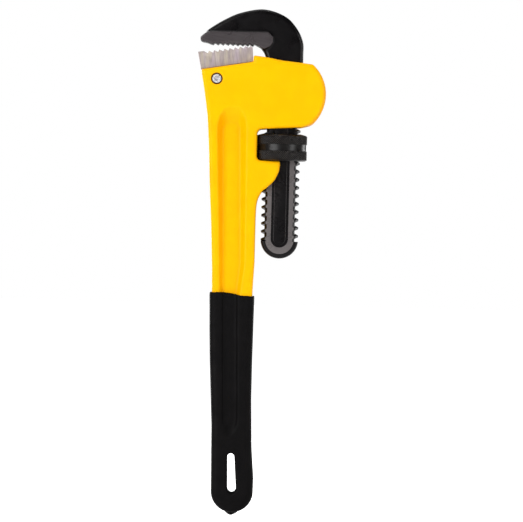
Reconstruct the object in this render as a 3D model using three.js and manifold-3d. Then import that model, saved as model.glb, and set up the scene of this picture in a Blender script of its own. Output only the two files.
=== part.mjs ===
// Adjustable pipe wrench, 350 mm nominal, jaws closed. Units are millimetres.
// +Z runs up along the threaded shank, +X from the nose towards the back of the hook, Y across the thickness.
// The origin is where a hand holds it: the middle of the grip.
import * as THREE from 'three';
import { mergeVertices } from 'three/addons/utils/BufferGeometryUtils.js';
import Module from 'manifold-3d';

const wasm = await Module();
wasm.setup();

const GAP = 0.3;                 // clearance between pieces that sit against each other

// Thicknesses across Y, each as half of the whole
const HEAD_HALF = 12;            // flat cheeks of the head
const HANDLE_HALF = 9.4;         // flanges of the handle inside the grip
const WEB_HALF = 6;              // web of the I section
const GRIP_HALF = 10.6;
const JAW_HALF = 8.5;            // toothed width of both jaws
const HOOK_HALF = 7;             // black forged arm of the hook
const SHANK_HALF = 6.5;
const TAPER_TOP = 165;           // the handle thins from here down to TAPER_END
const TAPER_END = 66;

// Hook jaw and its thread
const SHANK_X = 26;              // axis of shank, nut and channel
const THREAD_TIP = 11.1;
const THREAD_ROOT = 9;
const THREAD_PITCH = 4.8;
const THREAD_PHASE = 95.9;       // height of a crest on the +X side
const CORNER_R = 10;             // radius turned on the shank's corners, inside the nut's crests
const SHANK_FOOT = 97.4;         // the rounded foot ends here and the thread begins
const SHANK_END_Z = 98.3;        // centre of the foot's curve
const THREAD_TOP = 167;
const NECK_FRONT = 37.5;
const NECK_REAR = 15.2;
const NECK_TOP = 207;
const PANEL_R = 5.15;            // half width of the sunk panel on each side of the shank
const PANEL_DEPTH = 1.1;
const PANEL_LOW = 98.9;
const PANEL_HIGH = 172;

// Adjusting nut
const NUT_R = 15.2;
const NUT_BORE = 11.45;
const NUT_CREST = 10.3;
const NUT_BOTTOM = 145.35;
const NUT_TOP = 161.6;
const NUT_GROOVE_R = 14.4;
const KNURL_DEPTH = 0.3;
const KNURL_COUNT = 60;

// Teeth
const HOOK_TOOTH = { count: 9, pitch: 2.95, height: 1.55, lean: 0.7, x: 7.6, z: 213.15, slope: 0.018 };
const HEEL_TOOTH = { count: 9, pitch: 3.05, height: 1.5, lean: 0.7, x: 5.95, z: 213.35, slope: 0.156 };

// Heel jaw's seat and the pin that holds it
const SEAT_LEFT = -22.7;
const SEAT_RIGHT = 8.2;
const SEAT_Z = 198.4;            // at SEAT_LEFT
const SEAT_SLOPE = 0.167;
const PIN = { x: -13.4, z: 193.1, r: 2.6, bore: 1.5, slit: 0.9, half: 11.6 };
const TONGUE = { left: -19, right: -4, bottom: 187.6, half: 4 };

// Channel, nut window, spring pocket
const CHANNEL = { rear: 13.2, front: 40.5, half: 7.4 };
const FORK_REAR = 13;
const WINDOW = { wall: 11.3, shelf: 145, top: 164.2 };
const NUT_POCKET_R = 15.9;
const SPRING_Z = 184;
const POCKET = { r: 5.3, end: 48.2 };

// Bulge that houses the springs
const BULGE = { x: 27.8, z: 184.9, r: 23.7 };

// ---------------------------------------------------------------- helpers

function toSolid(geometry) {
  const bare = geometry.clone();
  bare.deleteAttribute('normal');
  bare.deleteAttribute('uv');
  const merged = mergeVertices(bare, 1e-4);
  return new wasm.Manifold(new wasm.Mesh({
    numProp: 3,
    vertProperties: new Float32Array(merged.attributes.position.array),
    triVerts: new Uint32Array(merged.index.array),
  }));
}

function toGeometry(solid) {
  const mesh = solid.getMesh();
  const geometry = new THREE.BufferGeometry();
  geometry.setAttribute('position', new THREE.BufferAttribute(new Float32Array(mesh.vertProperties), 3));
  geometry.setIndex(new THREE.BufferAttribute(new Uint32Array(mesh.triVerts), 1));
  const flat = geometry.toNonIndexed();
  flat.computeVertexNormals();
  return flat;
}

// A plate in the XZ plane, centred on Y, its outline given as [x, z] points
function plate(points, half, bevel = 0, segments = 2) {
  const shape = new THREE.Shape(points.map(([x, z]) => new THREE.Vector2(x, z)));
  const geometry = new THREE.ExtrudeGeometry(shape, {
    depth: 2 * (half - bevel), steps: 1, curveSegments: 12,
    bevelEnabled: bevel > 0, bevelSize: bevel, bevelThickness: bevel, bevelOffset: -bevel,
    bevelSegments: segments,
  });
  geometry.translate(0, 0, bevel - half);
  geometry.rotateX(Math.PI / 2);
  return toSolid(geometry);
}

function box(x0, x1, y0, y1, z0, z1) {
  const geometry = new THREE.BoxGeometry(x1 - x0, y1 - y0, z1 - z0);
  geometry.translate((x0 + x1) / 2, (y0 + y1) / 2, (z0 + z1) / 2);
  return toSolid(geometry);
}

// A turned shape: [radius, height] profile about an axis through (x, y, z)
function turned(profile, segments, place) {
  const geometry = new THREE.LatheGeometry(profile.map(([r, h]) => new THREE.Vector2(r, h)), segments);
  place(geometry);
  return toSolid(geometry);
}

function alongY(x, z) {
  return (geometry) => geometry.translate(x, 0, z);
}

function alongX(z) {
  return (geometry) => { geometry.rotateZ(-Math.PI / 2); geometry.translate(0, 0, z); };
}

function alongZ(x) {
  return (geometry) => { geometry.rotateX(Math.PI / 2); geometry.translate(x, 0, 0); };
}

function disc(r, low, high, segments, place) {
  return turned([[0, low], [r, low], [r, high], [0, high]], segments, place);
}

function arc(x, z, r, from, to, steps) {
  const points = [];
  for (let i = 0; i <= steps; i++) {
    const a = THREE.MathUtils.degToRad(from + ((to - from) * i) / steps);
    points.push([x + r * Math.cos(a), z + r * Math.sin(a)]);
  }
  return points;
}

function smooth(points, steps) {
  const curve = new THREE.SplineCurve(points.map(([x, z]) => new THREE.Vector2(x, z)));
  return curve.getPoints(steps).map((p) => [p.x, p.y]);
}

// A closed solid through rings of points that all have the same count
function loft(rings) {
  const count = rings[0].length;
  const position = rings.flat(2);
  const index = [];
  for (let k = 0; k + 1 < rings.length; k++) {
    for (let i = 0; i < count; i++) {
      const a = k * count + i;
      const b = k * count + ((i + 1) % count);
      index.push(a, b, b + count, a, b + count, a + count);
    }
  }
  const last = (rings.length - 1) * count;
  for (let i = 1; i + 1 < count; i++) {
    index.push(0, i + 1, i, last, last + i, last + i + 1);
  }
  const geometry = new THREE.BufferGeometry();
  geometry.setAttribute('position', new THREE.Float32BufferAttribute(position, 3));
  geometry.setIndex(index);
  const solid = toSolid(geometry);
  return solid.volume() < 0 ? toSolid(flipped(geometry)) : solid;
}

function flipped(geometry) {
  const index = geometry.index.array;
  for (let i = 0; i < index.length; i += 3) [index[i], index[i + 1]] = [index[i + 1], index[i]];
  return geometry;
}

// A thread ridge about the shank's axis. It is crestHalf tall at the crest and baseHalf at the base.
function ridge(base, crest, baseHalf, crestHalf, phase, from, to, steps) {
  const rings = [];
  for (let i = 0; i <= steps; i++) {
    const a = from + ((to - from) * i) / steps;
    const z = phase + (THREAD_PITCH * a) / (2 * Math.PI);
    const at = (r, dz) => [SHANK_X + r * Math.cos(a), r * Math.sin(a), z + dz];
    rings.push([at(base, -baseHalf), at(crest, -crestHalf), at(crest, crestHalf), at(base, baseHalf)]);
  }
  return loft(rings);
}

function joined(solids) {
  return solids.reduce((sum, one) => sum.add(one));
}

function mesh(name, solid, color, roughness, metalness) {
  const made = new THREE.Mesh(toGeometry(solid),
    new THREE.MeshStandardMaterial({ color, roughness, metalness, flatShading: true }));
  made.name = name;
  return made;
}

// ---------------------------------------------------------------- teeth

// Hook teeth point down and lean towards the throat. Returned from the rear to the nose.
function hookTeeth() {
  const { count, pitch, height, lean, x, z, slope } = HOOK_TOOTH;
  const points = [];
  for (let k = 0; k < count; k++) {
    const tip = [x - k * pitch, z + k * pitch * slope];
    points.push([tip[0] + lean, tip[1] + height], tip);
  }
  return points;
}

// Heel teeth point up and lean towards the nose. Returned from the nose to the rear.
function heelTeeth() {
  const { count, pitch, height, lean, x, z, slope } = HEEL_TOOTH;
  const points = [];
  for (let k = count - 1; k >= 0; k--) {
    const tip = [x - k * pitch, z - k * pitch * slope];
    points.push([tip[0] - lean, tip[1] - height], tip);
  }
  return points;
}

// ---------------------------------------------------------------- hook jaw

function hookArm() {
  const back = smooth([[NECK_FRONT, 203], [NECK_FRONT, 209], [37.2, 216], [33.6, 223.8], [26.5, 231],
    [14, 235], [0.4, 232.8], [-9.3, 228.5], [-17, 223.8], [-20.4, 221.2]], 44);
  const inner = [[-20.4, 215.4], [9, 214.9], [12.4, 212.3], [14.4, 209.6], [15.6, 206.8], [15.6, 203]];
  return plate([...back, ...inner], HOOK_HALF, 2, 3);
}

function toothedBand() {
  const nose = [[-19.6, 214.9], [-22.4, 215.3], [-23.7, 216.2], [-23.6, 217.8], [-21.6, 219.6],
    [-18.6, 221.2]];
  const rear = [[16.6, 221.3], [19.2, 218.8], [19.2, 215.6], [17.7, 213.1], [14.2, 211.5],
    [12.4, 212.4], [9.7, 213.7]];
  return plate([...rear, ...hookTeeth(), ...nose], JAW_HALF);
}

function threadOnShank() {
  const first = Math.ceil((SHANK_FOOT - THREAD_PHASE) / THREAD_PITCH);
  const last = Math.floor((THREAD_TOP - THREAD_PHASE) / THREAD_PITCH);
  const reach = THREE.MathUtils.degToRad(50);
  const ridges = [];
  for (let k = first; k <= last; k++) {
    for (const side of [0, Math.PI]) {
      const turn = side + 2 * Math.PI * k;
      ridges.push(ridge(7.5, THREAD_TIP, 2.2, 0.55, THREAD_PHASE, turn - reach, turn + reach, 6));
    }
  }
  const keep = box(0, 50, -SHANK_HALF, SHANK_HALF, SHANK_FOOT, THREAD_TOP + 1);
  return joined(ridges).intersect(keep);
}

function shankCore() {
  const a0 = Math.acos(THREAD_ROOT / CORNER_R);
  const a1 = Math.asin(SHANK_HALF / CORNER_R);
  const corner = [0, 0.5, 1].map((t) => a0 + t * (a1 - a0));
  const quarter = corner.map((a) => [CORNER_R * Math.cos(a), CORNER_R * Math.sin(a)]);
  const half = [...quarter, ...quarter.map(([x, y]) => [-x, y]).reverse()];
  const ring = [...half, ...half.map(([x, y]) => [-x, -y])];
  const level = (z) => ring.map(([x, y]) => [SHANK_X + x, y, z]);
  return loft([level(90), level(THREAD_TOP + 2)]);
}

function neck() {
  const level = (z) => {
    const cut = 1;
    const [x0, x1, y] = [NECK_REAR, NECK_FRONT, SHANK_HALF];
    return [[x0 + cut, -y, z], [x1 - cut, -y, z], [x1, cut - y, z], [x1, y - cut, z],
      [x1 - cut, y, z], [x0 + cut, y, z], [x0, y - cut, z], [x0, cut - y, z]];
  };
  return loft([level(THREAD_TOP), level(NECK_TOP)]).subtract(plate(
    [[NECK_REAR - 2, 201], [15.6, 205.4], [15.6, 212], [NECK_REAR - 2, 212]], SHANK_HALF + 1));
}

function shankFoot() {
  const profile = [[0, -SHANK_HALF], [8.6, -SHANK_HALF], [10.4, -5.4], [THREAD_TIP, -3.6],
    [THREAD_TIP, 3.6], [10.4, 5.4], [8.6, SHANK_HALF], [0, SHANK_HALF]];
  return turned(profile, 64, alongY(SHANK_X, SHANK_END_Z)).intersect(box(0, 50, -9, 9, 80, SHANK_FOOT));
}

function shankPanel(side) {
  const low = arc(SHANK_X, PANEL_LOW, PANEL_R, 180, 360, 10);
  const outline = [...low, ...arc(SHANK_X, PANEL_HIGH, PANEL_R, 0, 180, 6)];
  const floor = outline.map(([x, z]) => [x, side * (SHANK_HALF - PANEL_DEPTH), z]);
  const rim = outline.map(([x, z]) => [x, side * (SHANK_HALF + 1), z]);
  return loft([floor, rim]);
}

function hookJaw() {
  const core = shankCore().intersect(box(0, 50, -9, 9, SHANK_END_Z - 2, THREAD_TOP + 1));
  const body = joined([core, shankFoot(), threadOnShank(), neck(), hookArm(), toothedBand()]);
  return body.subtract(shankPanel(-1)).subtract(shankPanel(1));
}

// ---------------------------------------------------------------- adjusting nut

// Ring of the nut's outside. Knurled rings stand in and out by turns, so that the facets make diamonds.
function nutRing(r, z, phase) {
  const ring = [];
  for (let i = 0; i < KNURL_COUNT; i++) {
    const a = (2 * Math.PI * i) / KNURL_COUNT;
    const depth = phase < 0 ? 0 : ((i + phase) % 2) * KNURL_DEPTH;
    ring.push([SHANK_X + (r - depth) * Math.cos(a), (r - depth) * Math.sin(a), z]);
  }
  return ring;
}

function knurlBand(low, high) {
  const rows = 4;
  const rings = [];
  for (let k = 0; k <= rows; k++) rings.push(nutRing(NUT_R, low + ((high - low) * k) / rows, k % 2));
  return rings;
}

function adjustingNut() {
  const rings = [
    nutRing(NUT_R - 1, NUT_BOTTOM, -1),
    ...knurlBand(NUT_BOTTOM + 0.5, 151.3),
    nutRing(NUT_GROOVE_R, 151.6, -1),
    nutRing(NUT_GROOVE_R, 154.9, -1),
    ...knurlBand(155.2, 160.3),
    nutRing(11.6, NUT_TOP, -1),
  ];
  const blank = loft(rings);
  const turns = Math.ceil((NUT_TOP - NUT_BOTTOM) / THREAD_PITCH) + 1;
  const phase = THREAD_PHASE + THREAD_PITCH / 2;
  const start = Math.floor((NUT_BOTTOM - phase) / THREAD_PITCH);
  const helix = ridge(NUT_BORE + 0.6, NUT_CREST, 1.95, 1.05, phase,
    2 * Math.PI * start, 2 * Math.PI * (start + turns), 28 * turns);
  const bore = disc(NUT_BORE, NUT_BOTTOM - 1, NUT_TOP + 1, 56, alongZ(SHANK_X));
  return blank.subtract(bore).add(helix.intersect(blank));
}

// ---------------------------------------------------------------- handle and head

function headOutline() {
  const bulge = arc(BULGE.x, BULGE.z, BULGE.r, -47, 49, 30);
  const lug = smooth([[12.9, 123.2], [15, 126.9], [18.3, 129.6], [21.7, 133], [23.4, 135.9],
    [24.7, 138.9]], 14);
  const windowFloor = arc(WINDOW.wall + 2.3, WINDOW.shelf + 2.3, 2.3, 270, 180, 3);
  const windowRoof = arc(WINDOW.wall + 2.7, WINDOW.top - 2.9, 2.7, 180, 90, 4);
  return [
    [SEAT_LEFT, SEAT_Z], [-20.3, 184.6], [-18.3, 170.9], [-17.1, 153.5], [-16, 128.7], [-14.6, 106],
    [-13.5, 80], ...handleEnd(0),
    [10.9, 72], [11.5, 84], [11.5, 110], [11.7, 117.5], [12.1, 120.4], ...lug,
    [25.2, 142], [25.2, WINDOW.shelf],
    ...windowFloor, ...windowRoof, [26.2, 164.6], [37.2, 165.4], [42.1, 166.6],
    ...bulge, [37.1, 203.5], [25.3, 204.7], [15.6, 206.5], [SEAT_RIGHT, 207.3],
    [SEAT_RIGHT, SEAT_Z + SEAT_SLOPE * (SEAT_RIGHT - SEAT_LEFT)],
  ];
}

// The part of the handle that the grip covers, moved out by grow on every side
function handleEnd(grow) {
  const left = [[-13.2, 66], [-12.8, 44], [-12.2, 26], [-11, 2.4], [-10.3, -12.4], [-10.1, -27], [-9.8, -44]];
  const right = [[12.6, -44.5], [11.1, -26.7], [10.3, 3], [10.3, 26], [10.4, 44], [10.7, 66]];
  return [
    ...left.map(([x, z]) => [x - grow, z]),
    ...arc(1.4, -51.2, 11.15 + grow, 188, 352, 20),
    ...right.map(([x, z]) => [x + grow, z]),
  ];
}

// Thins the handle below the head: full thickness at TAPER_TOP, HANDLE_HALF at TAPER_END and below
function tapered(solid) {
  const wide = 200;
  const slice = (z0, z1) => solid.intersect(box(-wide, wide, -wide, wide, z0, z1));
  const thin = HANDLE_HALF / HEAD_HALF;
  const slope = (1 - thin) / (TAPER_TOP - TAPER_END);
  const scaled = (part, factor) => {
    const geometry = toGeometry(part);
    const p = geometry.attributes.position;
    for (let i = 0; i < p.count; i++) p.setY(i, p.getY(i) * factor(p.getZ(i)));
    return toSolid(geometry);
  };
  return joined([
    slice(TAPER_TOP, 300),
    scaled(slice(TAPER_END, TAPER_TOP), (z) => thin + slope * (z - TAPER_END)),
    scaled(slice(-100, TAPER_END), () => thin),
  ]);
}

// Edges of the recess floor. They run straight down the handle and step in where the grip begins.
const RECESS_LEAN = 0.0244;
const RECESS_STEPS = [[84, 3.6], [64, 1.5]];

function recessLeft(z) {
  return -9.6 + RECESS_LEAN * (174 - z);
}

function recessRight(z) {
  const [[high, wide], [low, narrow]] = RECESS_STEPS;
  if (z >= high) return wide - RECESS_LEAN * (z - high);
  if (z <= low) return narrow + RECESS_LEAN * (low - z);
  return THREE.MathUtils.mapLinear(z, low, high, narrow, wide);
}

// Quarter of an oval round (x, z), starting at the angle from
function corner(x, z, rx, rz, from) {
  return arc(0, 0, 1, from, from + 90, 4).map(([u, v]) => [x + rx * u, z + rz * v]);
}

// Long recess on one side of the handle. Its walls slope like a casting's draft, and its ends
// slope fade times as far.
function recess(side, low, high, floorHalf, openHalf, draft, fade) {
  const round = 4;
  const [foot, head] = [low + round, high - round];
  const levels = [64, 84, 120].filter((z) => z > foot && z < head);
  const outline = (out) => {
    const [rx, rz] = [round + out, round + out * fade];
    return [
      ...[...levels].reverse().map((z) => [recessLeft(z) - out, z]),
      ...corner(recessLeft(foot) + round, foot, rx, rz, 180),
      ...corner(recessRight(foot) - round, foot, rx, rz, 270),
      ...levels.map((z) => [recessRight(z) + out, z]),
      ...corner(recessRight(head) - round, head, rx, rz, 0),
      ...corner(recessLeft(head) + round, head, rx, rz, 90),
    ];
  };
  return loft([
    outline(0).map(([x, z]) => [x, side * floorHalf, z]),
    outline(draft).map(([x, z]) => [x, side * openHalf, z]),
  ]);
}

function hangSlot(grow, half) {
  const lower = arc(1.15, -50.2, 2.75 + grow, 182, 358, 8);
  const upper = arc(0.3, -31, 2.25 + grow, 2, 178, 8);
  return plate([...lower, ...upper], half);
}

function handleBody() {
  let body = tapered(plate(headOutline(), HEAD_HALF, 1.5, 3));
  for (const side of [-1, 1]) body = body.subtract(recess(side, -20, 167, WEB_HALF, 16, 5.4, 3));
  const cuts = [
    box(CHANNEL.rear, CHANNEL.front, -CHANNEL.half, CHANNEL.half, 160, 220),
    box(FORK_REAR, 60, -7.1, 7.1, 100, WINDOW.shelf + 1),
    disc(NUT_POCKET_R, WINDOW.shelf, WINDOW.top - 0.6, 48, alongZ(SHANK_X)),
    disc(POCKET.r, CHANNEL.front - 1, POCKET.end, 28, alongX(SPRING_Z)),
    box(TONGUE.left - GAP, TONGUE.right + GAP, -TONGUE.half - GAP, TONGUE.half + GAP,
      TONGUE.bottom - GAP, 215),
    disc(PIN.r + GAP, -20, 20, 24, alongY(PIN.x, PIN.z)),
    hangSlot(1.3, 20),
  ];
  for (const side of [-1, 1]) {
    const rim = [[0, side * 14], [PIN.r + 0.9, side * 14], [PIN.r + 0.9, side * (HEAD_HALF - 0.2)],
      [PIN.r + GAP, side * (HEAD_HALF - 0.8)], [0, side * (HEAD_HALF - 0.8)]];
    cuts.push(turned(side > 0 ? [...rim].reverse() : rim, 24, alongY(PIN.x, PIN.z)));
  }
  return cuts.reduce((left, cut) => left.subtract(cut), body);
}

// ---------------------------------------------------------------- grip

function gripSleeve() {
  const outline = [
    [-14.1, 44], [-13.5, 26], [-12.3, 2.4], [-11.6, -12.4], [-11.4, -27], [-11.1, -44],
    ...arc(1.4, -51.6, 12.5, 188, 352, 24),
    [13.9, -44], [12.5, -26.7], [11.5, 3], [11.5, 26.7], [11.7, 44.5], [12, 76], [-14.8, 76],
  ];
  const below = [[-30, 66.8], [-8, 66.7], [-2, 65.9], [4, 64.9], [30, 65], [30, -80], [-30, -80]];
  const nib = plate([[-3.6, -62], [-2.2, -64.4], [0.2, -66.1], [1.6, -66.1], [4.6, -64.4], [6, -62]], 2.4);
  let sleeve = plate(outline, GRIP_HALF, 3.2, 4).intersect(plate(below, 30)).add(nib);
  for (const side of [-1, 1]) sleeve = sleeve.subtract(recess(side, -13, 90, GRIP_HALF - 1.6, 16, 2.2, 12));
  const cavityHalf = HANDLE_HALF + GAP;
  let cavity = plate([...handleEnd(GAP), [11, 80], [-13.6, 80]], cavityHalf, 1, 2);
  for (const side of [-1, 1]) {
    cavity = cavity.subtract(recess(side, -20 + GAP, 167, WEB_HALF + GAP, 16, 4.6, 3));
  }
  cavity = cavity.subtract(hangSlot(1, 20));
  return sleeve.subtract(cavity).subtract(hangSlot(0, 20));
}

// ---------------------------------------------------------------- heel jaw and pin

function heelJaw() {
  const base = (x) => SEAT_Z + GAP + SEAT_SLOPE * (x - SEAT_LEFT);
  const block = plate([[-23, base(-23)], [SEAT_RIGHT - 0.3, base(SEAT_RIGHT)], [7.5, 212],
    ...heelTeeth().reverse(), [-21.5, 209.3], [-25, 208.8]], JAW_HALF);
  const tongue = box(TONGUE.left, TONGUE.right, -TONGUE.half, TONGUE.half, TONGUE.bottom, 203);
  const hole = disc(PIN.r + GAP, -20, 20, 24, alongY(PIN.x, PIN.z));
  return block.add(tongue).subtract(hole);
}

// Spring pin: a rolled tube with a slit along it
function heelPin() {
  const { x, z, r, bore, slit, half } = PIN;
  const tube = [[bore, -half + 0.3], [bore + 0.3, -half], [r - 0.4, -half], [r, -half + 0.5],
    [r, half - 0.5], [r - 0.4, half], [bore + 0.3, half], [bore, half - 0.3], [bore, -half + 0.3]];
  const slot = new THREE.BoxGeometry(slit, 60, 2 * r);
  slot.translate(0, 0, r);
  slot.rotateY(THREE.MathUtils.degToRad(40));
  slot.translate(x, 0, z);
  return turned(tube, 28, alongY(x, z)).subtract(toSolid(slot));
}

// ---------------------------------------------------------------- springs

// Leaf that bears on the front of the shank
function flatSpring() {
  const strip = box(37.9, 38.8, -5, 5, 168, 199);
  return strip.subtract(disc(1.5, 30, 45, 20, alongX(SPRING_Z)));
}

// Rivet through the leaf, its head inside the coil
function springRivet() {
  const profile = [[0, 37.9], [1.15, 37.9], [1.15, 39.1], [2.3, 39.1], [2.1, 40.1], [0, 40.3]];
  return turned(profile, 20, alongX(SPRING_Z));
}

class Coil extends THREE.Curve {
  getPoint(t) {
    const a = 2 * Math.PI * 3.6 * t;
    return new THREE.Vector3(39.7 + 7.6 * t, 3.9 * Math.cos(a), SPRING_Z + 3.9 * Math.sin(a));
  }
}

function coilSpring() {
  const wire = new THREE.Shape();
  wire.absarc(0, 0, 0.55, 0, 2 * Math.PI);
  const geometry = new THREE.ExtrudeGeometry(wire, {
    steps: 80, curveSegments: 6, bevelEnabled: false, extrudePath: new Coil(),
  });
  return toSolid(geometry);
}

// ---------------------------------------------------------------- assembly

const group = new THREE.Group();
group.name = 'pipe_wrench';
group.add(
  mesh('handle_body', handleBody(), 0xffc800, 0.4, 0.1),
  mesh('grip_sleeve', gripSleeve(), 0x1b1b1b, 0.8, 0),
  mesh('heel_jaw', heelJaw(), 0xb4aaa5, 0.35, 0.9),
  mesh('heel_jaw_pin', heelPin(), 0xc8c8cc, 0.3, 1),
  mesh('hook_jaw', hookJaw(), 0x1e1d1f, 0.55, 0.6),
  mesh('adjusting_nut', adjustingNut(), 0x242326, 0.45, 0.7),
  mesh('flat_spring', flatSpring(), 0x777a80, 0.4, 1),
  mesh('spring_rivet', springRivet(), 0x8d8f94, 0.4, 1),
  mesh('coil_spring', coilSpring(), 0x777a80, 0.4, 1),
);

export default group;
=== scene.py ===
import math

import bpy
from mathutils import Matrix, Vector


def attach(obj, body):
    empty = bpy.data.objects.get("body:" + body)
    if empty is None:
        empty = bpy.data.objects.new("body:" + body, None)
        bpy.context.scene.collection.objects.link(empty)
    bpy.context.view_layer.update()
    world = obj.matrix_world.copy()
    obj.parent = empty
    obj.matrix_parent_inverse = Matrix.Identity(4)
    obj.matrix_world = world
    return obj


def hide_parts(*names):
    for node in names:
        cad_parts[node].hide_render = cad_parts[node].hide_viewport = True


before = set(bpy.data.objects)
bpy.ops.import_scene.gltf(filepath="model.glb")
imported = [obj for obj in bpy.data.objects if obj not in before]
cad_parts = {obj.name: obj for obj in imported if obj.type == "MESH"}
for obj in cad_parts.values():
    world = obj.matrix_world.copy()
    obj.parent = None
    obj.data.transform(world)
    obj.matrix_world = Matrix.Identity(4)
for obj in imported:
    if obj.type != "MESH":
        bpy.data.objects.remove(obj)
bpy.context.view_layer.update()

MM = 0.001
SHANK_X = 0.026
SHANK_HALF = 6.5
THREAD_TOP = 167
NUT_LOW = 0.14535
PIN_AT = (-0.0134, 0, 0.1931)
BULGE_AT = (0.0278, 0, 0.1849)


# ------------------------------------------------------------------ camera and stage

def aim_camera():
    """Square on to the flat side, with the shank leaning a little to the right."""
    lean = math.radians(1.4)
    right = Vector((math.cos(lean), 0, math.sin(lean)))
    up = Vector((-math.sin(lean), 0, math.cos(lean)))
    back = Vector((0, -1, 0))
    cam = bpy.data.cameras.new("camera")
    cam.sensor_width = 36
    distance = 2.5
    cam.lens = 36 * (distance - 0.012) / 0.3101
    cam.clip_end = 60
    eye = bpy.data.objects.new("camera", cam)
    turn = Matrix((right, up, back)).transposed().to_4x4()
    eye.matrix_world = Matrix.Translation((0.01574, -distance, 0.0855)) @ turn
    bpy.context.scene.collection.objects.link(eye)
    bpy.context.scene.camera = eye


def softbox(name, place, target, size, power, tint=(1, 1, 1)):
    light = bpy.data.lights.new(name, "AREA")
    light.shape = "RECTANGLE"
    light.size, light.size_y = size
    light.energy = power
    light.color = tint
    lamp = bpy.data.objects.new(name, light)
    lamp.location = place
    lamp.rotation_euler = (Vector(target) - Vector(place)).to_track_quat("-Z", "Y").to_euler()
    bpy.context.scene.collection.objects.link(lamp)


def light_studio():
    middle = (0.01, 0, 0.09)
    for side, word in ((-1, "front"), (1, "back")):
        softbox("key_" + word, (-0.8, side * 1.1, 0.4), middle, (0.8, 1.3), 18)
        softbox("fill_" + word, (1.1, side * 0.85, 0.2), middle, (0.5, 1.2), 8)
    softbox("top", (-0.1, 0, 1.3), middle, (0.9, 0.9), 6)
    world = bpy.data.worlds.new("studio")
    bpy.context.scene.world = world
    world.use_nodes = True
    tree = world.node_tree
    tree.nodes.clear()
    out = tree.nodes.new("ShaderNodeOutputWorld")
    seen = node(tree, "Background", {"Color": (1, 1, 1, 1)})
    room = node(tree, "Background", {"Color": (1, 1, 1, 1)})
    ray = node(tree, "LightPath")
    tree.links.new(ramp(tree, ray.outputs["Is Glossy Ray"], 0, 1, 0.3, 0.03), room.inputs["Strength"])
    mix = node(tree, "MixShader", {"Fac": ray.outputs["Is Camera Ray"], 1: room.outputs[0],
                                   2: seen.outputs[0]})
    tree.links.new(mix.outputs["Shader"], out.inputs["Surface"])
    bpy.context.scene.view_settings.view_transform = "Standard"


# ------------------------------------------------------------------ material building blocks

def socket_group(name, inputs, outputs):
    """An empty shader group. Inputs are (name, default), outputs are (name, kind)."""
    group = bpy.data.node_groups.new(name, "ShaderNodeTree")
    for label, default in inputs:
        kind = "NodeSocketColor" if isinstance(default, tuple) else "NodeSocketFloat"
        made = group.interface.new_socket(name=label, in_out="INPUT", socket_type=kind)
        made.default_value = default
    for label, kind in outputs:
        group.interface.new_socket(name=label, in_out="OUTPUT", socket_type=kind)
    return group, group.nodes.new("NodeGroupInput"), group.nodes.new("NodeGroupOutput")


def node(tree, kind, links=None, **settings):
    made = tree.nodes.new("ShaderNode" + kind)
    for key, value in settings.items():
        setattr(made, key, value)
    for key, value in (links or {}).items():
        if hasattr(value, "is_output"):
            tree.links.new(value, made.inputs[key])
        else:
            made.inputs[key].default_value = value
    return made


def calc(tree, operation, a, b=0.0, clamp=False):
    return node(tree, "Math", {0: a, 1: b}, operation=operation, use_clamp=clamp).outputs[0]


def ramp(tree, value, low, high, to_low=0.0, to_high=1.0):
    made = node(tree, "MapRange", {"Value": value, "From Min": low, "From Max": high,
                                   "To Min": to_low, "To Max": to_high}, clamp=True)
    return made.outputs["Result"]


def mixed(tree, fac, a, b):
    made = node(tree, "Mix", data_type="RGBA")
    for index, value in ((0, fac), (6, a), (7, b)):
        if hasattr(value, "is_output"):
            tree.links.new(value, made.inputs[index])
        else:
            made.inputs[index].default_value = value
    return made.outputs[2]


def object_position(tree, scale=(1, 1, 1), turn=(0, 0, 0), centre=(0, 0, 0)):
    """Object coordinates in millimetres, moved to centre, turned, then stretched."""
    coord = node(tree, "TexCoord")
    moved = node(tree, "VectorMath", {0: coord.outputs["Object"], 1: centre}, operation="SUBTRACT").outputs[0]
    mapping = node(tree, "Mapping", {"Vector": moved, "Rotation": turn,
                                     "Scale": tuple(1000 * s for s in scale)})
    return mapping.outputs["Vector"]


def make_grain_group():
    """Fine pebbling of a cast or forged skin, under paint or bare."""
    group, into, out = socket_group("cast_grain", [("Grain Size mm", 1.0), ("Waves mm", 8.0), ("Grain", 1.0)],
                                    [("Height", "NodeSocketFloat"), ("Drift", "NodeSocketFloat")])
    here = object_position(group)
    fine_scale = calc(group, "DIVIDE", 1.0, into.outputs["Grain Size mm"])
    slow_scale = calc(group, "DIVIDE", 1.0, into.outputs["Waves mm"])
    fine = node(group, "TexNoise", {"Vector": here, "Scale": fine_scale, "Detail": 3.0, "Roughness": 0.6})
    slow = node(group, "TexNoise", {"Vector": here, "Scale": slow_scale, "Detail": 2.0, "Roughness": 0.5})
    fine_part = calc(group, "MULTIPLY", fine.outputs["Fac"], into.outputs["Grain"])
    group.links.new(calc(group, "ADD", fine_part, slow.outputs["Fac"]), out.inputs["Height"])
    group.links.new(slow.outputs["Fac"], out.inputs["Drift"])
    return group


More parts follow.
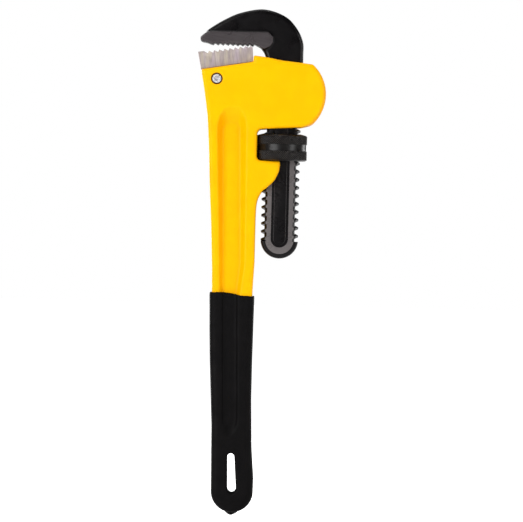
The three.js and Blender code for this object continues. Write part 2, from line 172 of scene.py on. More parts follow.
def make_wear_group():
    """Mask of rubbed and chipped outer edges, and a mask of hollows used for painted shade."""
    inputs = [("Start", 0.53), ("End", 0.6), ("Breakup mm", 2.0), ("Amount", 1.0)]
    group, into, out = socket_group("edge_wear", inputs,
                                    [("Mask", "NodeSocketFloat"), ("Hollow Shade", "NodeSocketFloat")])
    shape = node(group, "NewGeometry").outputs["Pointiness"]
    edge = node(group, "MapRange", {"Value": shape}, clamp=True)
    group.links.new(into.outputs["Start"], edge.inputs["From Min"])
    group.links.new(into.outputs["End"], edge.inputs["From Max"])
    noise = node(group, "TexNoise", {"Vector": object_position(group), "Detail": 4.0, "Roughness": 0.65,
                                     "Scale": calc(group, "DIVIDE", 1.0, into.outputs["Breakup mm"])})
    patchy = ramp(group, noise.outputs["Fac"], 0.42, 0.62)
    mask = calc(group, "MULTIPLY", edge.outputs["Result"], patchy)
    group.links.new(calc(group, "MULTIPLY", mask, into.outputs["Amount"], clamp=True), out.inputs["Mask"])
    # hollows: higher where the surface curves inwards, used as painted shade
    group.links.new(ramp(group, shape, 0.5, 0.44), out.inputs["Hollow Shade"])
    return group


def make_grinding_group():
    """Parallel scratches left by a grinding wheel. Tilt turns them away from upright."""
    group, into, out = socket_group("grinding_lines", [("Fine", 1.0), ("Coarse", 1.0), ("Tilt", 0.0)],
                                    [("Height", "NodeSocketFloat"), ("Bands", "NodeSocketFloat"),
                                     ("Scratch", "NodeSocketFloat")])
    turned = node(group, "CombineXYZ", {"Y": into.outputs["Tilt"]})
    coord = node(group, "TexCoord")
    in_mm = node(group, "VectorMath", {0: coord.outputs["Object"], "Scale": 1000.0},
                 operation="SCALE").outputs[0]
    rotated = node(group, "Mapping", {"Vector": in_mm, "Rotation": turned.outputs[0]}).outputs["Vector"]
    fine_space = node(group, "VectorMath", {0: rotated, 1: (4.2, 4.2, 0.2)},
                      operation="MULTIPLY").outputs[0]
    broad_space = node(group, "VectorMath", {0: rotated, 1: (1.7, 1.7, 0.07)},
                       operation="MULTIPLY").outputs[0]
    fine = node(group, "TexNoise", {"Vector": fine_space, "Scale": 1.0, "Detail": 2.0, "Roughness": 0.7})
    broad = node(group, "TexNoise", {"Vector": broad_space, "Scale": 1.0, "Detail": 3.0, "Roughness": 0.6})
    a = calc(group, "MULTIPLY", fine.outputs["Fac"], into.outputs["Fine"])
    b = calc(group, "MULTIPLY", broad.outputs["Fac"], into.outputs["Coarse"])
    group.links.new(calc(group, "ADD", a, b), out.inputs["Height"])
    group.links.new(broad.outputs["Fac"], out.inputs["Bands"])
    group.links.new(ramp(group, fine.outputs["Fac"], 0.56, 0.68), out.inputs["Scratch"])
    return group


def make_handling_group():
    """Soft patches of finger grease and dust that change how a surface shines."""
    group, into, out = socket_group("handling_marks", [("Patch mm", 12.0), ("Low", 0.3), ("High", 0.5)],
                                    [("Roughness", "NodeSocketFloat"), ("Dust", "NodeSocketFloat")])
    patch = node(group, "TexNoise", {"Vector": object_position(group), "Detail": 5.0,
                                     "Roughness": 0.6, "Distortion": 0.4,
                                     "Scale": calc(group, "DIVIDE", 1.0, into.outputs["Patch mm"])})
    spread = node(group, "MapRange", {"Value": patch.outputs["Fac"], "From Min": 0.3, "From Max": 0.7},
                  clamp=True)
    group.links.new(into.outputs["Low"], spread.inputs["To Min"])
    group.links.new(into.outputs["High"], spread.inputs["To Max"])
    group.links.new(spread.outputs["Result"], out.inputs["Roughness"])
    speck = node(group, "TexNoise", {"Vector": object_position(group), "Scale": 1.6, "Detail": 2.0})
    group.links.new(ramp(group, speck.outputs["Fac"], 0.66, 0.78), out.inputs["Dust"])
    return group


GROUPS = {}


def effect(tree, name, **values):
    made = tree.nodes.new("ShaderNodeGroup")
    made.node_tree = GROUPS[name]
    for key, value in values.items():
        made.inputs[key.replace("_", " ")].default_value = value
    return made.outputs


def start_finish(name, **constants):
    made = bpy.data.materials.new(name)
    made.use_nodes = True
    tree = made.node_tree
    shader = tree.nodes["Principled BSDF"]
    for key, value in constants.items():
        shader.inputs[key.replace("_", " ")].default_value = value
    return made, tree, shader


def bumped(tree, shader, height, depth_mm, strength=1.0):
    bump = node(tree, "Bump", {"Height": height, "Distance": depth_mm * MM, "Strength": strength})
    tree.links.new(bump.outputs["Normal"], shader.inputs["Normal"])
    return bump


def yellow_enamel():
    made, tree, shader = start_finish("yellow_enamel", Metallic=0.0, IOR=1.45)
    shader.inputs["Specular IOR Level"].default_value = 0.06
    shader.inputs["Coat Weight"].default_value = 0.0
    grain = effect(tree, "cast_grain", Grain_Size_mm=0.9, Waves_mm=9.0, Grain=0.35)
    wear = effect(tree, "edge_wear", Start=0.56, End=0.64, Breakup_mm=1.5, Amount=0.6)
    marks = effect(tree, "handling_marks", Patch_mm=14.0, Low=0.3, High=0.42)
    paint = mixed(tree, ramp(tree, grain["Drift"], 0.35, 0.65), (0.90, 0.43, 0.0, 1), (0.92, 0.455, 0.0, 1))
    # painted shade: hollows of the casting are mixed towards a darker orange
    hollow_shaded = mixed(tree, calc(tree, "MULTIPLY", wear["Hollow Shade"], 0.12), paint, (0.80, 0.27, 0.0, 1))
    edge = mixed(tree, calc(tree, "MULTIPLY", wear["Mask"], 0.35), hollow_shaded, (0.80, 0.33, 0.0, 1))
    dusty = mixed(tree, calc(tree, "MULTIPLY", marks["Dust"], 0.12), edge, (0.8, 0.45, 0.08, 1))
    # painted shade: a dark brown ring round the pin where it sits sunk in the handle
    beside_pin = node(tree, "VectorMath", {0: object_position(tree, centre=PIN_AT), 1: (1, 0, 1)},
                      operation="MULTIPLY").outputs[0]
    reach = node(tree, "VectorMath", {0: beside_pin}, operation="LENGTH").outputs["Value"]
    pin_ring_shaded = mixed(tree, ramp(tree, reach, 3.75, 3.3), dusty, (0.10, 0.04, 0.006, 1))
    coord = node(tree, "SeparateXYZ", {0: object_position(tree, centre=BULGE_AT)})
    x, _, z = coord.outputs
    from_bulge = node(tree, "VectorMath", {0: node(tree, "CombineXYZ", {"X": x, "Z": z}).outputs[0]},
                      operation="LENGTH").outputs["Value"]
    # painted shade: the right-hand rim of the head's bulge is tinted darker orange in place of its shaded
    # rounded edge
    rim = calc(tree, "MULTIPLY", ramp(tree, from_bulge, 21.7, 22.6), ramp(tree, x, 7.0, 13.0))
    rim = calc(tree, "MULTIPLY", rim, ramp(tree, z, 16.0, 2.0))
    rounded = mixed(tree, calc(tree, "MULTIPLY", rim, 0.75), pin_ring_shaded, (0.80, 0.345, 0.01, 1))
    tree.links.new(rounded, shader.inputs["Base Color"])
    tree.links.new(marks["Roughness"], shader.inputs["Roughness"])
    bumped(tree, shader, grain["Height"], 0.12, 0.5)
    return made


def black_grip():
    made, tree, shader = start_finish("black_grip", Metallic=0.0, IOR=1.5)
    shader.inputs["Specular IOR Level"].default_value = 0.08
    grain = effect(tree, "cast_grain", Grain_Size_mm=0.55, Waves_mm=6.0, Grain=0.8)
    wear = effect(tree, "edge_wear", Start=0.53, End=0.62, Breakup_mm=5.0, Amount=0.7)
    marks = effect(tree, "handling_marks", Patch_mm=16.0, Low=0.5, High=0.68)
    skin = mixed(tree, ramp(tree, grain["Drift"], 0.3, 0.7),
                 (0.0015, 0.0012, 0.0014, 1), (0.0026, 0.0021, 0.0024, 1))
    rubbed = mixed(tree, wear["Mask"], skin, (0.009, 0.0082, 0.0088, 1))
    dusty = mixed(tree, calc(tree, "MULTIPLY", marks["Dust"], 0.25), rubbed, (0.012, 0.0115, 0.0112, 1))
    tree.links.new(dusty, shader.inputs["Base Color"])
    tree.links.new(marks["Roughness"], shader.inputs["Roughness"])
    bumped(tree, shader, grain["Height"], 0.1, 0.6)
    return made


def ground_steel():
    """Heel jaw: bare steel, streaked across its length by the grinding wheel, with faint heat tints."""
    made, tree, shader = start_finish("ground_steel", IOR=2.2)
    lines = effect(tree, "grinding_lines", Fine=0.6, Coarse=1.0, Tilt=math.radians(8))
    marks = effect(tree, "handling_marks", Patch_mm=6.0, Low=0.32, High=0.48)
    pale = mixed(tree, ramp(tree, lines["Bands"], 0.35, 0.65),
                 (0.31, 0.25, 0.242, 1), (0.46, 0.385, 0.375, 1))
    tint = node(tree, "TexNoise", {"Vector": object_position(tree, scale=(0.45, 0.2, 0.06)),
                                   "Scale": 1.0, "Detail": 1.0})
    straw = mixed(tree, ramp(tree, tint.outputs["Fac"], 0.52, 0.68, 0.0, 0.35), pale,
                  (0.62, 0.55, 0.36, 1))
    violet = mixed(tree, ramp(tree, tint.outputs["Fac"], 0.46, 0.3, 0.0, 0.3), straw, (0.52, 0.42, 0.55, 1))
    scratched = mixed(tree, calc(tree, "MULTIPLY", lines["Scratch"], 0.45), violet, (0.2, 0.175, 0.17, 1))
    tree.links.new(scratched, shader.inputs["Base Color"])
    tree.links.new(marks["Roughness"], shader.inputs["Roughness"])
    shader.inputs["Metallic"].default_value = 0.55
    bumped(tree, shader, lines["Height"], 0.05, 0.6)
    return made


def forged_black():
    """Hook jaw: black oxide scale, with ground lands on the toothed band and round the shank's panel."""
    made, tree, shader = start_finish("black_forging", IOR=1.5)
    shader.inputs["Specular IOR Level"].default_value = 0.2
    grain = effect(tree, "cast_grain", Grain_Size_mm=0.7, Waves_mm=5.0, Grain=0.6)
    wear = effect(tree, "edge_wear", Start=0.55, End=0.66, Breakup_mm=1.2, Amount=0.6)
    marks = effect(tree, "handling_marks", Patch_mm=9.0, Low=0.24, High=0.36)
    lines = effect(tree, "grinding_lines", Fine=0.5, Coarse=0.5, Tilt=math.radians(80))
    coord = node(tree, "SeparateXYZ", {0: object_position(tree)})
    x, y, z = coord.outputs
    out = calc(tree, "ABSOLUTE", y)
    band = ramp(tree, out, 8.33, 8.43)
    below = ramp(tree, z, 203.2, 203.0)
    across = calc(tree, "SUBTRACT", x, SHANK_X / MM)
    past_foot = calc(tree, "MINIMUM", calc(tree, "SUBTRACT", z, 98.3), 0.0)
    reach = node(tree, "CombineXYZ", {"X": across, "Z": past_foot}).outputs[0]
    from_axis = node(tree, "VectorMath", {0: reach}, operation="LENGTH").outputs["Value"]
    inside = calc(tree, "MULTIPLY", ramp(tree, from_axis, 8.5, 8.3), below)
    # painted shade: the shank's grey land fades to black scale above the nut, where the housing shades it
    planed = calc(tree, "MULTIPLY", inside, ramp(tree, z, 160.5, 156.0))
    on_face = calc(tree, "MULTIPLY", ramp(tree, out, 6.36, 6.46), planed)
    land = calc(tree, "MAXIMUM", band, on_face)
    scale = mixed(tree, ramp(tree, grain["Drift"], 0.35, 0.65),
                  (0.0016, 0.0012, 0.0015, 1), (0.003, 0.0023, 0.0028, 1))
    # painted highlight: a light line along the raised ridge inside each sunk panel, merged with the rubbed
    # edges
    off_line = calc(tree, "ABSOLUTE", calc(tree, "SUBTRACT", from_axis, 3.5))
    line = calc(tree, "MULTIPLY", ramp(tree, off_line, 0.24, 0.14), ramp(tree, out, 5.4, 5.5))
    in_panel = calc(tree, "MULTIPLY", ramp(tree, out, 5.9, 5.8), ramp(tree, z, 172.0, 171.0))
    line = calc(tree, "MULTIPLY", calc(tree, "MULTIPLY", line, in_panel), 0.8)
    # rubbed edges plus the painted highlight on the panel's ridge
    bare = calc(tree, "MAXIMUM", wear["Mask"], line)
    rubbed = mixed(tree, bare, scale, (0.045, 0.041, 0.041, 1))
    ground = mixed(tree, ramp(tree, lines["Bands"], 0.3, 0.7),
                   (0.056, 0.048, 0.051, 1), (0.074, 0.065, 0.068, 1))
    shank_grey = mixed(tree, below, ground, (0.14, 0.127, 0.127, 1))
    marked = mixed(tree, calc(tree, "MULTIPLY", lines["Scratch"], 0.1), shank_grey,
                   (0.035, 0.031, 0.032, 1))
    tree.links.new(mixed(tree, land, rubbed, marked), shader.inputs["Base Color"])
    tree.links.new(calc(tree, "MULTIPLY", land, 0.35), shader.inputs["Metallic"])
    tree.links.new(marks["Roughness"], shader.inputs["Roughness"])
    rough_skin = calc(tree, "MULTIPLY", grain["Height"], calc(tree, "SUBTRACT", 1.0, land))
    wheel_marks = calc(tree, "MULTIPLY", calc(tree, "MULTIPLY", lines["Height"], land), 0.3)
    bumped(tree, shader, calc(tree, "ADD", rough_skin, wheel_marks), 0.12, 0.6)
    return made


def nut_black():
    made, tree, shader = start_finish("black_nut", IOR=1.5)
    shader.inputs["Specular IOR Level"].default_value = 0.3
    grain = effect(tree, "cast_grain", Grain_Size_mm=0.5, Waves_mm=4.0, Grain=0.5)
    wear = effect(tree, "edge_wear", Start=0.56, End=0.7, Breakup_mm=0.9, Amount=0.9)
    marks = effect(tree, "handling_marks", Patch_mm=5.0, Low=0.22, High=0.38)
    oxide = mixed(tree, ramp(tree, grain["Drift"], 0.35, 0.65),
                  (0.004, 0.0034, 0.0032, 1), (0.008, 0.0068, 0.0064, 1))
    rubbed = mixed(tree, wear["Mask"], oxide, (0.07, 0.065, 0.063, 1))
    spun = node(tree, "VectorMath", {0: object_position(tree, centre=(SHANK_X, 0, 0)), 1: (1, 1, 0)},
                operation="MULTIPLY").outputs[0]
    radius = node(tree, "VectorMath", {0: spun}, operation="LENGTH").outputs["Value"]
    patchy = node(tree, "TexNoise", {"Vector": object_position(tree), "Scale": 0.35, "Detail": 2.0})
    # outermost points of the knurl made lighter and more metallic: partly rubbed wear, partly painted glints
    tip_wear_and_glints = calc(tree, "MULTIPLY", ramp(tree, radius, 15.1, 15.22),
                ramp(tree, patchy.outputs["Fac"], 0.4, 0.6, 0.3, 1.0))
    worn_and_glinting = mixed(tree, tip_wear_and_glints, rubbed, (0.33, 0.295, 0.275, 1))
    tree.links.new(worn_and_glinting, shader.inputs["Base Color"])
    # metallic from rubbed edges and from the tips' painted glints
    bare = calc(tree, "MAXIMUM", calc(tree, "MULTIPLY", wear["Mask"], 0.6), calc(tree, "MULTIPLY", tip_wear_and_glints, 0.4))
    tree.links.new(bare, shader.inputs["Metallic"])
    tree.links.new(marks["Roughness"], shader.inputs["Roughness"])
    bumped(tree, shader, grain["Height"], 0.05, 0.5)
    return made


def bright_pin():
    made, tree, shader = start_finish("bright_pin", Metallic=0.35, IOR=2.0)
    grain = effect(tree, "cast_grain", Grain_Size_mm=0.4, Waves_mm=1.5, Grain=0.4)
    marks = effect(tree, "handling_marks", Patch_mm=1.5, Low=0.2, High=0.42)
    plate = mixed(tree, ramp(tree, grain["Drift"], 0.35, 0.65), (0.55, 0.54, 0.56, 1), (0.82, 0.8, 0.82, 1))
    tree.links.new(plate, shader.inputs["Base Color"])
    tree.links.new(marks["Roughness"], shader.inputs["Roughness"])
    bumped(tree, shader, grain["Height"], 0.03, 0.6)
    return made


def blued_spring():
    made, tree, shader = start_finish("spring_steel", Metallic=1.0)
    grain = effect(tree, "cast_grain", Grain_Size_mm=0.3, Waves_mm=2.0, Grain=0.4)
    marks = effect(tree, "handling_marks", Patch_mm=3.0, Low=0.25, High=0.45)
    blue = mixed(tree, ramp(tree, grain["Drift"], 0.35, 0.65), (0.12, 0.13, 0.17, 1), (0.24, 0.24, 0.26, 1))
    tree.links.new(blue, shader.inputs["Base Color"])
    tree.links.new(marks["Roughness"], shader.inputs["Roughness"])
    bumped(tree, shader, grain["Height"], 0.02, 0.5)
    return made


def pale_floor():
    made, tree, shader = start_finish("pale_floor", Roughness=0.9)
    shader.inputs["Specular IOR Level"].default_value = 0.0
    shader.inputs["Emission Strength"].default_value = 1.0
    ray = node(tree, "LightPath")
    glow = mixed(tree, ray.outputs["Is Camera Ray"], (0.12, 0.12, 0.12, 1), (0.9, 0.9, 0.9, 1))
    tree.links.new(glow, shader.inputs["Emission Color"])
    speck = node(tree, "TexNoise", {"Scale": 3.0, "Detail": 2.0})
    paper = mixed(tree, speck.outputs["Fac"], (0.86, 0.86, 0.86, 1), (0.9, 0.9, 0.9, 1))
    tree.links.new(paper, shader.inputs["Base Color"])
    return made


# ------------------------------------------------------------------ modelling tools

def deselect_all():
    if bpy.context.object and bpy.context.object.mode != "OBJECT":
        bpy.ops.object.mode_set(mode="OBJECT")
    bpy.ops.object.select_all(action="DESELECT")


def take(piece):
    deselect_all()
    piece.select_set(True)
    bpy.context.view_layer.objects.active = piece
    return piece


def apply_modifier(piece, kind, **settings):
    take(piece)
    made = piece.modifiers.new(kind.lower(), kind)
    for key, value in settings.items():
        setattr(made, key, value)
    bpy.ops.object.modifier_apply(modifier=made.name)


def merged(piece):
    """Joins points that lie on each other."""
    take(piece)
    bpy.ops.object.mode_set(mode="EDIT")
    bpy.ops.mesh.select_all(action="SELECT")
    bpy.ops.mesh.remove_doubles(threshold=0.002 * MM)
    bpy.ops.object.mode_set(mode="OBJECT")
    return piece


def start_from_node(cad, name):
    """A merged copy of a CAD node's mesh, to be refined as a piece of its own."""
    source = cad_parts[cad]
    piece = bpy.data.objects.new(name, source.data.copy())
    bpy.context.scene.collection.objects.link(piece)
    return merged(piece)


def finish_piece(piece, cad, body, material, angle=40):
    take(piece)
    piece.data.materials.clear()
    piece.data.materials.append(material)
    bpy.ops.object.shade_smooth_by_angle(angle=math.radians(angle))
    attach(piece, body)
    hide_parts(cad)
    return piece


# ------------------------------------------------------------------ pieces

def cast_handle(material):
    piece = start_from_node("handle_body", "cast_handle")
    apply_modifier(piece, "REMESH", mode="VOXEL", voxel_size=0.6 * MM)
    apply_modifier(piece, "SMOOTH", factor=0.5, iterations=8)
    apply_modifier(piece, "DISPLACE", strength=0.12 * MM, mid_level=0)
    return finish_piece(piece, "handle_body", "handle", material, 180)


def dipped_grip(material):
    piece = start_from_node("grip_sleeve", "dipped_grip")
    apply_modifier(piece, "REMESH", mode="VOXEL", voxel_size=0.62 * MM)
    apply_modifier(piece, "SMOOTH", factor=0.5, iterations=14)
    apply_modifier(piece, "DISPLACE", strength=0.14 * MM, mid_level=0)
    return finish_piece(piece, "grip_sleeve", "handle", material, 180)


def clear_selection(piece):
    for part in (piece.data.vertices, piece.data.edges, piece.data.polygons):
        part.foreach_set("select", [False] * len(part))


def combine(piece, tool, operation):
    apply_modifier(piece, "BOOLEAN", operation=operation, object=tool, solver="EXACT")
    bpy.data.objects.remove(tool)


def block(low, high):
    """A plain block between two corners in millimetres, used as a cutter."""
    deselect_all()
    middle = [(a + b) / 2 * MM for a, b in zip(low, high)]
    size = [(b - a) * MM for a, b in zip(low, high)]
    bpy.ops.mesh.primitive_cube_add(size=1, location=middle, scale=size)
    return settle(bpy.context.object)


def settle(piece):
    take(piece)
    bpy.ops.object.transform_apply(location=True, rotation=True, scale=True)
    return piece


def forged_arm(material):
    """The curved arm and neck: the hook without its shank, rounded off like a forging."""
    piece = start_from_node("hook_jaw", "forged_arm")
    combine(piece, block((0, -20, 60), (60, 20, THREAD_TOP)), "DIFFERENCE")
    apply_modifier(piece, "REMESH", mode="VOXEL", voxel_size=0.5 * MM)
    apply_modifier(piece, "SMOOTH", factor=0.5, iterations=10)
    apply_modifier(piece, "DISPLACE", strength=0.14 * MM, mid_level=0)
    return finish_piece(piece, "hook_jaw", "hook", material, 180)


def draw_outline(name, outline, y=0):
    """Draws a flat outline point by point and fills it."""
    deselect_all()
    x, z = outline[0]
    bpy.ops.mesh.primitive_plane_add(size=MM, location=(x * MM, y * MM, z * MM))
    piece = settle(bpy.context.object)
    piece.name = name
    bpy.ops.object.mode_set(mode="EDIT")
    bpy.ops.mesh.select_mode(type="VERT")
    bpy.ops.mesh.select_all(action="SELECT")
    bpy.ops.mesh.merge(type="CENTER")
    for to_x, to_z in outline[1:]:
        step = ((to_x - x) * MM, 0, (to_z - z) * MM)
        bpy.ops.mesh.extrude_vertices_move(TRANSFORM_OT_translate={"value": step})
        x, z = to_x, to_z
    bpy.ops.mesh.select_all(action="SELECT")
    bpy.ops.mesh.edge_face_add()
    bpy.ops.object.mode_set(mode="OBJECT")
    return piece


def draw_plate(name, outline, half):
    """A flat outline pulled out across the thickness."""
    piece = draw_outline(name, outline, -half)
    bpy.ops.object.mode_set(mode="EDIT")
    bpy.ops.mesh.select_all(action="SELECT")
    bpy.ops.mesh.extrude_region_move(TRANSFORM_OT_translate={"value": (0, 2 * half * MM, 0)})
    bpy.ops.mesh.select_all(action="SELECT")
    bpy.ops.mesh.normals_make_consistent(inside=False)
    bpy.ops.object.mode_set(mode="OBJECT")
    return piece


def toothed_band(material):
    """The hook's jaw proper: nine teeth that point down and lean towards the throat."""
    outline = [(16.6, 221.3), (19.2, 218.8), (19.2, 215.6), (17.7, 213.1), (14.2, 211.5), (12.4, 212.4),
               (9.7, 213.7)]
    for k in range(9):
        tip_x, tip_z = 7.6 - 2.95 * k, 213.15 + 0.053 * k
        outline += [(tip_x + 0.7, tip_z + 1.55), (tip_x, tip_z)]
    outline += [(-19.6, 214.9), (-22.4, 215.3), (-23.7, 216.2), (-23.6, 217.8), (-21.6, 219.6),
                (-18.6, 221.2)]
    piece = draw_plate("toothed_band", outline, 8.55)
    apply_modifier(piece, "BEVEL", width=0.22 * MM, segments=2,
                   limit_method="ANGLE", angle_limit=math.radians(50))
    return finish_piece(piece, "hook_jaw", "hook", material, 18)


def long_oval(name, half, side):
    """A short cylinder through the shank's face, its upper half drawn up the shank."""
    deselect_all()
    bpy.ops.mesh.primitive_cylinder_add(vertices=48, radius=half * MM, depth=2.2 * MM,
                                        rotation=(math.radians(90), 0, 0),
                                        location=(SHANK_X, side * SHANK_HALF * MM, 98.9 * MM))
    piece = bpy.context.object
    piece.name = name
    settle(piece)
    clear_selection(piece)
    for vertex in piece.data.vertices:
        vertex.select = vertex.co.z > 98.91 * MM
    bpy.ops.object.mode_set(mode="EDIT")
    bpy.ops.mesh.select_mode(type="VERT")
    bpy.ops.transform.translate(value=(0, 0, 73.1 * MM))
    bpy.ops.object.mode_set(mode="OBJECT")
    return piece


def thread_ridge():
    """One screw thread: its section is drawn beside the axis, then wound up the shank."""
    pitch, low = 4.8, 91.1
    piece = draw_outline("thread", [(8.2, low - 2), (11.1, low - 0.55), (11.1, low + 0.55), (8.2, low + 2)])
    bpy.ops.object.mode_set(mode="EDIT")
    bpy.ops.mesh.delete(type="ONLY_FACE")
    bpy.ops.object.mode_set(mode="OBJECT")
    apply_modifier(piece, "SCREW", axis="Z", angle=math.tau, screw_offset=pitch * MM, iterations=17,
                   steps=72, render_steps=72, use_merge_vertices=False)
    bpy.ops.object.mode_set(mode="EDIT")
    bpy.ops.mesh.select_all(action="SELECT")
    bpy.ops.mesh.fill_holes(sides=4)
    bpy.ops.mesh.select_all(action="SELECT")
    bpy.ops.mesh.normals_make_consistent(inside=False)
    bpy.ops.transform.translate(value=(SHANK_X, 0, 0))
    bpy.ops.object.mode_set(mode="OBJECT")
    combine(piece, block((0, -20, 96.8), (60, 20, THREAD_TOP - 0.1)), "INTERSECT")
    return piece


def threaded_shank(material):
    """Turned bar with a thread, planed flat on both sides, a rounded foot and a sunk panel on each face."""
    axis = SHANK_X / MM
    deselect_all()
    bpy.ops.mesh.primitive_cylinder_add(vertices=96, radius=10 * MM, depth=90 * MM,
                                        location=(SHANK_X, 0, 0.14))
    piece = settle(bpy.context.object)
    piece.name = "threaded_shank"
    combine(piece, block((axis - 9, -20, 96), (axis + 9, 20, THREAD_TOP)), "INTERSECT")
    combine(piece, thread_ridge(), "UNION")
    combine(piece, block((0, -SHANK_HALF, 60), (60, SHANK_HALF, 200)), "INTERSECT")
    deselect_all()
    bpy.ops.mesh.primitive_cylinder_add(vertices=80, radius=11.1 * MM, depth=(2 * SHANK_HALF + 0.06) * MM,
                                        rotation=(math.radians(90), 0, 0), location=(SHANK_X, 0, 98.3 * MM))
    foot = settle(bpy.context.object)
    apply_modifier(foot, "BEVEL", width=1.9 * MM, segments=4,
                   limit_method="ANGLE", angle_limit=math.radians(60))
    combine(foot, block((0, -30, 97.4), (60, 30, 120)), "DIFFERENCE")
    combine(piece, foot, "UNION")
    for way in (-1, 1):
        combine(piece, long_oval("panel", 5.15, way), "DIFFERENCE")
    merged(piece)
    apply_modifier(piece, "BEVEL", width=0.25 * MM, segments=2,
                   limit_method="ANGLE", angle_limit=math.radians(40))
    return finish_piece(piece, "hook_jaw", "hook", material, 18)


def toothed_heel(material):
    piece = start_from_node("heel_jaw", "toothed_heel")
    take(piece)
    bpy.ops.object.mode_set(mode="EDIT")
    bpy.ops.mesh.select_all(action="SELECT")
    bpy.ops.mesh.dissolve_limited(angle_limit=math.radians(1))
    bpy.ops.object.mode_set(mode="OBJECT")
    apply_modifier(piece, "BEVEL", width=0.16 * MM, segments=2,
                   limit_method="ANGLE", angle_limit=math.radians(30))
    return finish_piece(piece, "heel_jaw", "handle", material, 18)


KNURLS = 76


def ring_step(dz, scale):
    """Extrudes the selected ring up by dz and sizes it about the shank's axis."""
    bpy.ops.mesh.extrude_edges_move(TRANSFORM_OT_translate={"value": (0, 0, dz)})
    bpy.ops.transform.resize(value=(scale, scale, 1), center_override=(SHANK_X, 0, 0))


def select_faces(piece, wanted):
    """Selects only the faces that pass a test on their radius and height in millimetres on the nut."""
    bpy.ops.object.mode_set(mode="OBJECT")
    clear_selection(piece)
    for face in piece.data.polygons:
        radius = Vector((face.center.x - SHANK_X, face.center.y)).length / MM
        face.select = abs(face.normal.z) < 0.3 and wanted(radius, (face.center.z - NUT_LOW) / MM)
    bpy.ops.object.mode_set(mode="EDIT")
    bpy.ops.mesh.select_mode(type="FACE")


def knurled_nut(material):
    """Turned blank. The two bands' square facets are made diamonds, then each is raised to a point."""
    deselect_all()
    radius = 14.2
    bpy.ops.mesh.primitive_circle_add(vertices=KNURLS, radius=radius * MM, location=(SHANK_X, 0, NUT_LOW))
    piece = bpy.context.object
    piece.name = "knurled_nut"
    bpy.ops.object.transform_apply(location=True, rotation=True, scale=True)
    bpy.ops.object.mode_set(mode="EDIT")
    bpy.ops.mesh.select_mode(type="EDGE")
    bpy.ops.mesh.select_all(action="SELECT")
    rows, band = 4, 14.85
    profile = [(0.5, band)] + [(5.35 / rows, band)] * rows
    profile += [(0.15, band), (0.15, 14.65), (3.4, 14.65), (0.15, band), (0.1, band)]
    profile += [(5.0 / rows, band)] * rows
    profile += [(0.35, 14.6), (0.8, 11.7), (-0.4, 11.4), (-15.25, 11.4), (-0.4, 11.9)]
    for dz, to in profile:
        ring_step(dz * MM, to / radius)
        radius = to
    bpy.ops.mesh.select_all(action="DESELECT")
    bpy.ops.mesh.select_non_manifold()
    bpy.ops.mesh.bridge_edge_loops()
    bpy.ops.mesh.select_all(action="SELECT")
    bpy.ops.mesh.normals_make_consistent(inside=False)
    low, high = 0.5, 9.8
    spans = ((low, low + 5.35), (high, high + 5.0))

    def on_band(radius, height):
        return radius > 14.5 and any(a < height < b for a, b in spans)

    select_faces(piece, on_band)
    bpy.ops.mesh.poke(offset=0)
    bpy.ops.object.mode_set(mode="OBJECT")
    levels = [a + (b - a) * k / rows for a, b in spans for k in range(rows + 1)]
    rims = [a for a, _ in spans] + [b for _, b in spans]
    at = [(Vector((v.co.x - SHANK_X, v.co.y)).length / MM, (v.co.z - NUT_LOW) / MM)
          for v in piece.data.vertices]
    ringed = [r > 14.5 and any(abs(z - level) < 0.02 for level in levels) for r, z in at]
    rimmed = [any(abs(z - rim) < 0.02 for rim in rims) for _, z in at]
    for part in (piece.data.vertices, piece.data.polygons):
        part.foreach_set("select", [False] * len(part))
    for edge in piece.data.edges:
        a, b = edge.vertices
        tall = abs(at[a][1] - at[b][1])
        edge.select = ringed[a] and ringed[b] and tall < 1.5 and not (rimmed[a] and rimmed[b])
    bpy.ops.object.mode_set(mode="EDIT")
    bpy.ops.mesh.select_mode(type="EDGE")
    bpy.ops.mesh.dissolve_edges(use_verts=False, use_face_split=False)
    select_faces(piece, on_band)
    bpy.ops.mesh.poke(offset=0.4 * MM)
    bpy.ops.object.mode_set(mode="OBJECT")
    return finish_piece(piece, "adjusting_nut", "nut", material, 20)


def panel_line(material, side):
    """Fine raised line inside the rim of the shank's panel: a thin ring drawn into a long oval."""
    deselect_all()
    half, foot, head, face = 3.5, 98.9, 171, 5.4
    bpy.ops.mesh.primitive_torus_add(major_radius=half * MM, minor_radius=0.17 * MM,
                                     major_segments=48, minor_segments=8,
                                     location=(SHANK_X, side * face * MM, foot * MM),
                                     rotation=(math.radians(90), 0, 0))
    piece = bpy.context.object
    piece.name = "panel_line_front" if side < 0 else "panel_line_back"
    bpy.ops.object.transform_apply(location=True, rotation=True, scale=True)
    clear_selection(piece)
    for vertex in piece.data.vertices:
        vertex.select = vertex.co.z > (foot + 0.01) * MM
    bpy.ops.object.mode_set(mode="EDIT")
    bpy.ops.mesh.select_mode(type="VERT")
    bpy.ops.transform.translate(value=(0, 0, (head - foot) * MM))
    bpy.ops.object.mode_set(mode="OBJECT")
    piece.data.materials.clear()
    piece.data.materials.append(material)
    bpy.ops.object.shade_smooth()
    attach(piece, "hook")


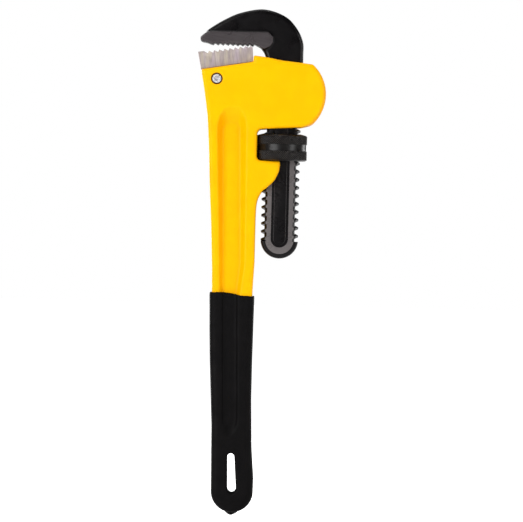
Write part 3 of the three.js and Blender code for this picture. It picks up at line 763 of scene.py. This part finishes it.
def roll_pin(material):
    """Rolled spring pin: both ends chamfered and sunk, with the slit where the sheet's edges meet."""
    deselect_all()
    x, _, z = PIN_AT
    bpy.ops.mesh.primitive_cylinder_add(vertices=36, radius=2.6 * MM, depth=23.2 * MM,
                                        rotation=(math.radians(90), 0, 0), location=PIN_AT)
    piece = settle(bpy.context.object)
    piece.name = "roll_pin"
    clear_selection(piece)
    for face in piece.data.polygons:
        face.select = abs(face.normal.y) > 0.9
    bpy.ops.object.mode_set(mode="EDIT")
    bpy.ops.mesh.select_mode(type="FACE")
    bpy.ops.mesh.inset(thickness=1.0 * MM, use_individual=True)
    bpy.ops.mesh.extrude_faces_move(TRANSFORM_OT_shrink_fatten={"value": -1.6 * MM})
    bpy.ops.mesh.extrude_faces_move(TRANSFORM_OT_shrink_fatten={"value": -0.5 * MM})
    bpy.ops.transform.resize(value=(0.5, 1, 0.5), center_override=PIN_AT)
    bpy.ops.object.mode_set(mode="OBJECT")
    for way in (-1, 1):
        deselect_all()
        turn = math.radians(40)
        place = (x + math.sin(turn) * 2.2 * MM, way * 11.6 * MM, z + math.cos(turn) * 2.2 * MM)
        bpy.ops.mesh.primitive_cube_add(size=1, location=place, rotation=(0, turn, 0),
                                        scale=(0.8 * MM, 4 * MM, 3 * MM))
        combine(piece, settle(bpy.context.object), "DIFFERENCE")
    apply_modifier(piece, "BEVEL", width=0.18 * MM, segments=2,
                   limit_method="ANGLE", angle_limit=math.radians(50))
    return finish_piece(piece, "heel_jaw_pin", "handle", material, 18)


def lay_floor(material):
    deselect_all()
    bpy.ops.mesh.primitive_plane_add(size=24, location=(0, 0, -0.0672))
    floor = bpy.context.object
    floor.name = "floor"
    floor.data.materials.append(material)


# ------------------------------------------------------------------ the wrench

aim_camera()
light_studio()
GROUPS["cast_grain"] = make_grain_group()
GROUPS["edge_wear"] = make_wear_group()
GROUPS["grinding_lines"] = make_grinding_group()
GROUPS["handling_marks"] = make_handling_group()
deselect_all()
lay_floor(pale_floor())
cast_handle(yellow_enamel())
dipped_grip(black_grip())
black = forged_black()
forged_arm(black)
toothed_band(black)
threaded_shank(black)
for side in (-1, 1):
    panel_line(black, side)
toothed_heel(ground_steel())
knurled_nut(nut_black())
roll_pin(bright_pin())
spring = blued_spring()
for cad in ("flat_spring", "spring_rivet", "coil_spring"):
    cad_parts[cad].material_slots[0].material = spring
